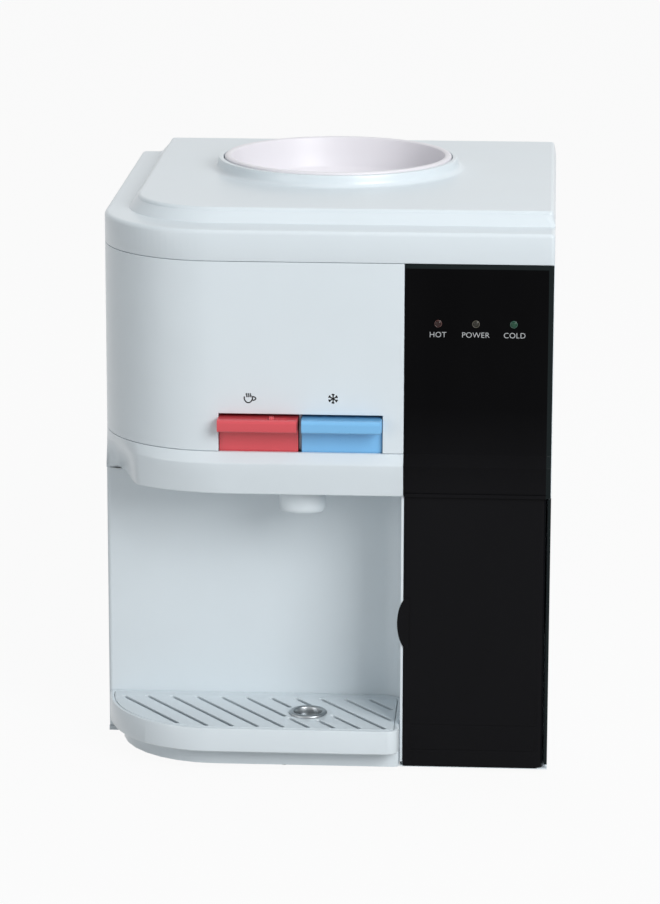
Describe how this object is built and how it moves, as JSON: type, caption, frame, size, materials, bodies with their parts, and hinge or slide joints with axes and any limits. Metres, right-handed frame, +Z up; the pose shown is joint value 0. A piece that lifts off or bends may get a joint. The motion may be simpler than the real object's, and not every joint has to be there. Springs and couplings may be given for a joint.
{
  "type": "countertop water dispenser",
  "caption": "Countertop hot and cold water dispenser with a bottle well on top, two press levers over one spout, a drip tray and a cup cupboard.",
  "frame": {"origin": "middle of the overall footprint, on the surface that the feet stand on", "axes": "+X to the right of a person facing the front, +Y to the back, +Z up"},
  "size_m": [0.3, 0.3454, 0.3845],
  "materials": {
    "white_casing": "cool off-white moulded plastic, soft gloss",
    "black_gloss": "piano black moulded plastic, high gloss",
    "red_lever": "coral red moulded plastic, satin",
    "blue_lever": "sky blue moulded plastic, satin",
    "grey_plastic": "grey moulded plastic, matt",
    "grey_switch": "light grey moulded plastic, matt",
    "red_switch": "red moulded plastic, satin",
    "dark_plastic": "dark grey moulded plastic, matt",
    "lens_red": "clear red lamp lens",
    "lens_amber": "clear pale amber lamp lens",
    "lens_green": "clear green lamp lens",
    "plated_steel": "zinc plated steel",
    "tank_steel": "brushed stainless steel",
    "chrome_ring": "polished chrome",
    "aluminium": "extruded aluminium",
    "module_ceramic": "white ceramic plates with dark edges",
    "foam": "expanded foam",
    "silicone": "milky silicone",
    "foot_rubber": "soft black rubber",
    "circuit_board": "green board"
  },
  "bodies": {
    "casing": {"base_pan": "white_casing", "bay_liner": "white_casing", "left_side_panel": "white_casing", "right_side_panel": "white_casing", "upper_front_panel": "white_casing", "spout": "white_casing", "chin_cover": "white_casing", "top_cover": "white_casing", "rear_cover": "white_casing", "foot_1": "foot_rubber", "foot_2": "foot_rubber", "foot_3": "foot_rubber", "foot_4": "foot_rubber", "lamp_panel": "black_gloss", "lamp_hot": "lens_red", "lamp_power": "lens_amber", "lamp_cold": "lens_green", "lamp_board": "circuit_board", "door_hinge_pin": "plated_steel", "cupboard_liner": "grey_plastic", "tap_bracket": "grey_plastic", "lever_shaft": "plated_steel", "hot_valve": "grey_plastic", "hot_spring": "plated_steel", "cold_valve": "grey_plastic", "cold_spring": "plated_steel", "tank_deck": "grey_plastic", "cold_tank": "tank_steel", "cold_tank_lid": "silicone", "foam_lower": "foam", "foam_upper": "foam", "cold_block": "aluminium", "cooling_module": "module_ceramic", "heat_sink": "aluminium", "fan_frame": "dark_plastic", "hot_tank": "tank_steel", "heater_band": "tank_steel", "hot_tank_stand": "plated_steel", "power_supply": "plated_steel", "cold_outlet_hose": "silicone", "hot_outlet_hose": "silicone", "hot_feed_hose": "silicone", "switch_housing": "dark_plastic", "power_inlet": "dark_plastic", "drain_pipe": "silicone"},
    "receptacle": {"bottle_receptacle": "white_casing", "feed_probe": "white_casing"},
    "door": {"column_door": "black_gloss"},
    "tray": {"drip_tray": "white_casing"},
    "grille": {"drip_grille": "white_casing", "drain_ring": "chrome_ring"},
    "hot_lever": {"hot_lever": "red_lever"},
    "cold_lever": {"cold_lever": "blue_lever"},
    "lock": {"child_lock": "red_lever"},
    "hot_stem": {"hot_stem": "grey_plastic"},
    "cold_stem": {"cold_stem": "grey_plastic"},
    "fan": {"fan_rotor": "dark_plastic"},
    "hot_rocker": {"hot_switch": "red_switch"},
    "cold_rocker": {"cold_switch": "grey_switch"},
    "drain_plug": {"drain_cap": "grey_switch"}
  },
  "joints": [
    {"name": "hot_lever_press", "type": "hinge", "parent": "casing", "child": "hot_lever", "pos_m": [0, -0.10825, 0.236], "axis": [1, 0, 0], "range_deg": [0, 8], "stiffness_Nm_per_rad": 1.2, "springref_deg": -8.59},
    {"name": "cold_lever_press", "type": "hinge", "parent": "casing", "child": "cold_lever", "pos_m": [0, -0.10825, 0.236], "axis": [1, 0, 0], "range_deg": [0, 8], "stiffness_Nm_per_rad": 1.2, "springref_deg": -8.59},
    {"name": "hot_stem_slide", "type": "slide", "parent": "casing", "child": "hot_stem", "axis": [0, 0, -1], "range_m": [0, 0.0032], "deforming": ["hot_spring"]},
    {"name": "cold_stem_slide", "type": "slide", "parent": "casing", "child": "cold_stem", "axis": [0, 0, -1], "range_m": [0, 0.0032], "deforming": ["cold_spring"]},
    {"name": "child_lock_slide", "type": "slide", "parent": "hot_lever", "child": "lock", "axis": [1, 0, 0], "range_m": [0, 0.006]},
    {"name": "door_swing", "type": "hinge", "parent": "casing", "child": "door", "pos_m": [0.1429, -0.15225, 0.004], "axis": [0, 0, 1], "range_deg": [0, 100]},
    {"name": "tray_slide", "type": "slide", "parent": "casing", "child": "tray", "axis": [0, -1, 0], "range_m": [0, 0.09]},
    {"name": "grille_lift", "type": "slide", "parent": "tray", "child": "grille", "axis": [0, 0, 1], "range_m": [0, 0.03]},
    {"name": "receptacle_lift", "type": "slide", "parent": "casing", "child": "receptacle", "axis": [0, 0, 1], "range_m": [0, 0.08]},
    {"name": "fan_spin", "type": "hinge", "parent": "casing", "child": "fan", "pos_m": [-0.001, 0, 0.2543], "axis": [0, 1, 0], "continuous": true},
    {"name": "hot_switch_rock", "type": "hinge", "parent": "casing", "child": "hot_rocker", "pos_m": [0.072, 0.16015, 0.172], "axis": [1, 0, 0], "range_deg": [0, 16]},
    {"name": "cold_switch_rock", "type": "hinge", "parent": "casing", "child": "cold_rocker", "pos_m": [0.072, 0.16015, 0.172], "axis": [1, 0, 0], "range_deg": [0, 16]},
    {"name": "drain_cap_pull", "type": "slide", "parent": "casing", "child": "drain_plug", "axis": [0, 1, 0], "range_m": [0, 0.02]}
  ],
  "couplings": [
    {"joint": "hot_stem_slide", "follows": "hot_lever_press", "m_per_rad": 0.0225},
    {"joint": "cold_stem_slide", "follows": "cold_lever_press", "m_per_rad": 0.0225}
  ]
}
